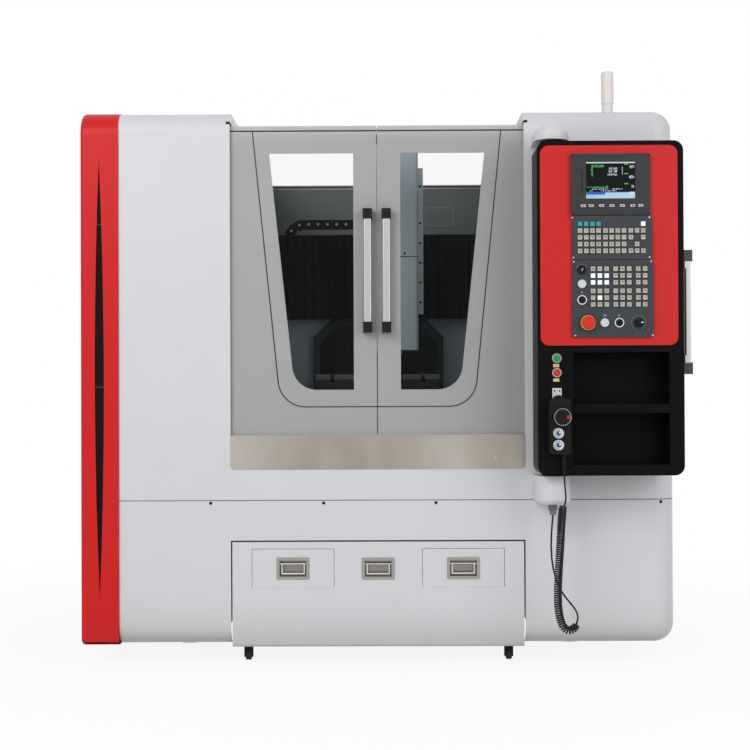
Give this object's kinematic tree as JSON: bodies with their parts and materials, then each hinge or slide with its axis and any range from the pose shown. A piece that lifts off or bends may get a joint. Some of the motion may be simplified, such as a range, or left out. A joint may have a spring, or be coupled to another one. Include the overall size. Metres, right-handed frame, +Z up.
{
  "type": "cnc engraving machine",
  "caption": "Enclosed CNC engraving machine with sliding window doors, swinging operator pendant and chip cart.",
  "frame": {"origin": "bottom centre of the bounding box without the curly cord, on the floor", "axes": "+X to the operator's right, +Y into the machine, +Z up"},
  "size_m": [2.042, 1.7812, 2.07],
  "materials": {
    "white_paint": "satin powder coat",
    "grey_paint": "satin powder coat",
    "red_paint": "satin powder coat",
    "black_trim": "matt black",
    "stainless": "brushed",
    "aluminium": "anodised",
    "clear_pane": "clear",
    "cast_iron": "painted and ground",
    "liner_paint": "grey-blue paint",
    "bright_steel": "zinc plated",
    "bellows_cloth": "coated cloth",
    "black_plastic": "matt",
    "caster_rubber": "matt",
    "black_paint": "satin black",
    "panel_plastic": "fine texture",
    "selector_plastic": "gloss",
    "red_plastic": "gloss",
    "green_plastic": "gloss"
  },
  "bodies": {
    "machine": {"base_skirt": "white_paint", "left_cabinet": "white_paint", "right_cabinet": "white_paint", "rear_panel": "white_paint", "pivot_arms": "white_paint", "tower_light": "white_paint", "end_cover": "red_paint", "end_cover_insert": "black_trim", "portal_frame": "black_trim", "sill_strip": "stainless", "bed": "cast_iron", "bridge": "cast_iron", "chamber_liner": "liner_paint", "door_tracks": "bright_steel", "levelling_feet": "bright_steel", "left_bellows": "bellows_cloth", "right_bellows": "bellows_cloth", "table_bellows": "bellows_cloth", "drag_chain": "black_plastic"},
    "left_door": {"left_door": "grey_paint", "left_window": "clear_pane", "left_handle": "aluminium"},
    "right_door": {"right_door": "grey_paint", "right_window": "clear_pane", "right_handle": "aluminium"},
    "x_saddle": {"x_saddle": "cast_iron"},
    "z_head": {"z_head": "liner_paint"},
    "spindle": {"spindle": "stainless"},
    "table": {"table": "cast_iron"},
    "cart": {"chip_cart": "white_paint", "cart_handle_dish": "stainless", "rear_casters": "caster_rubber"},
    "cart_handle_bail": {"cart_handle_bail": "stainless"},
    "left_drawer": {"left_drawer": "white_paint", "left_drawer_dish": "stainless"},
    "right_drawer": {"right_drawer": "white_paint", "right_drawer_dish": "stainless"},
    "left_drawer_bail": {"left_drawer_bail": "stainless"},
    "right_drawer_bail": {"right_drawer_bail": "stainless"},
    "left_caster_fork": {"left_caster_fork": "bright_steel"},
    "right_caster_fork": {"right_caster_fork": "bright_steel"},
    "left_caster_wheel": {"left_caster_wheel": "caster_rubber"},
    "right_caster_wheel": {"right_caster_wheel": "caster_rubber"},
    "pendant": {"pendant_housing": "black_paint", "pendant_panel": "red_paint", "display_unit": "panel_plastic", "keyboard_panel": "panel_plastic", "operation_panel": "panel_plastic", "handwheel_unit": "black_plastic", "pendant_handle": "aluminium", "cord_lead": "black_plastic", "cord_coil": "black_plastic", "cord_return": "black_plastic"},
    "estop_button": {"estop_button": "red_plastic"},
    "green_button": {"green_button": "green_plastic"},
    "red_button": {"red_button": "red_plastic"},
    "override_knob": {"override_knob": "black_plastic"},
    "handwheel": {"handwheel": "black_plastic"},
    "axis_selector": {"axis_selector": "selector_plastic"},
    "step_selector": {"step_selector": "selector_plastic"}
  },
  "joints": [
    {"name": "left_door_slide", "type": "slide", "parent": "machine", "child": "left_door", "axis": [-1, 0, 0], "range_m": [0, 0.42]},
    {"name": "right_door_slide", "type": "slide", "parent": "machine", "child": "right_door", "axis": [1, 0, 0], "range_m": [0, 0.42]},
    {"name": "x_axis", "type": "slide", "parent": "machine", "child": "x_saddle", "axis": [1, 0, 0], "range_m": [-0.35, 0.28], "deforming": ["left_bellows", "right_bellows", "drag_chain"]},
    {"name": "z_axis", "type": "slide", "parent": "x_saddle", "child": "z_head", "axis": [0, 0, 1], "range_m": [-0.03, 0.15]},
    {"name": "spindle_spin", "type": "hinge", "parent": "z_head", "child": "spindle", "pos_m": [0.024, -0.10935, 1.04], "axis": [0, 0, 1], "continuous": true},
    {"name": "y_axis", "type": "slide", "parent": "machine", "child": "table", "axis": [0, 1, 0], "range_m": [-0.1, 0.3], "deforming": ["table_bellows"]},
    {"name": "cart_slide", "type": "slide", "parent": "machine", "child": "cart", "axis": [0, -1, 0], "range_m": [0, 0.6]},
    {"name": "cart_bail_swing", "type": "hinge", "parent": "cart", "child": "cart_handle_bail", "pos_m": [-0.011, -0.60135, 0.3382], "axis": [-1, 0, 0], "range_deg": [0, 90]},
    {"name": "left_drawer_slide", "type": "slide", "parent": "cart", "child": "left_drawer", "axis": [0, -1, 0], "range_m": [0, 0.4]},
    {"name": "right_drawer_slide", "type": "slide", "parent": "cart", "child": "right_drawer", "axis": [0, -1, 0], "range_m": [0, 0.4]},
    {"name": "left_bail_swing", "type": "hinge", "parent": "left_drawer", "child": "left_drawer_bail", "pos_m": [-0.3, -0.60135, 0.3392], "axis": [-1, 0, 0], "range_deg": [0, 90]},
    {"name": "right_bail_swing", "type": "hinge", "parent": "right_drawer", "child": "right_drawer_bail", "pos_m": [0.278, -0.60135, 0.3392], "axis": [-1, 0, 0], "range_deg": [0, 90]},
    {"name": "left_caster_swivel", "type": "hinge", "parent": "cart", "child": "left_caster_fork", "pos_m": [-0.459, -0.53935, 0.05], "axis": [0, 0, 1], "continuous": true},
    {"name": "right_caster_swivel", "type": "hinge", "parent": "cart", "child": "right_caster_fork", "pos_m": [0.437, -0.53935, 0.05], "axis": [0, 0, 1], "continuous": true},
    {"name": "left_caster_roll", "type": "hinge", "parent": "left_caster_fork", "child": "left_caster_wheel", "pos_m": [-0.459, -0.52335, 0.022], "axis": [1, 0, 0], "continuous": true},
    {"name": "right_caster_roll", "type": "hinge", "parent": "right_caster_fork", "child": "right_caster_wheel", "pos_m": [0.437, -0.52335, 0.022], "axis": [1, 0, 0], "continuous": true},
    {"name": "pendant_swing", "type": "hinge", "parent": "machine", "child": "pendant", "pos_m": [0.569, -0.72735, 1.2], "axis": [0, 0, 1], "range_deg": [-90, 0]},
    {"name": "estop_press", "type": "slide", "parent": "pendant", "child": "estop_button", "axis": [0, 1, 0], "range_m": [0, 0.005], "stiffness_N_per_m": 400},
    {"name": "green_press", "type": "slide", "parent": "pendant", "child": "green_button", "axis": [0, 1, 0], "range_m": [0, 0.004], "stiffness_N_per_m": 400},
    {"name": "red_press", "type": "slide", "parent": "pendant", "child": "red_button", "axis": [0, 1, 0], "range_m": [0, 0.004], "stiffness_N_per_m": 400},
    {"name": "override_turn", "type": "hinge", "parent": "pendant", "child": "override_knob", "pos_m": [0.837, -0.84935, 1.144], "axis": [0, 1, 0], "range_deg": [-135, 135]},
    {"name": "handwheel_turn", "type": "hinge", "parent": "pendant", "child": "handwheel", "pos_m": [0.584, -0.87435, 0.84], "axis": [0, 1, 0], "continuous": true},
    {"name": "axis_selector_turn", "type": "hinge", "parent": "pendant", "child": "axis_selector", "pos_m": [0.572, -0.87435, 0.788], "axis": [0, 1, 0], "range_deg": [0, 150]},
    {"name": "step_selector_turn", "type": "hinge", "parent": "pendant", "child": "step_selector", "pos_m": [0.572, -0.87435, 0.75], "axis": [0, 1, 0], "range_deg": [0, 90]}
  ]
}
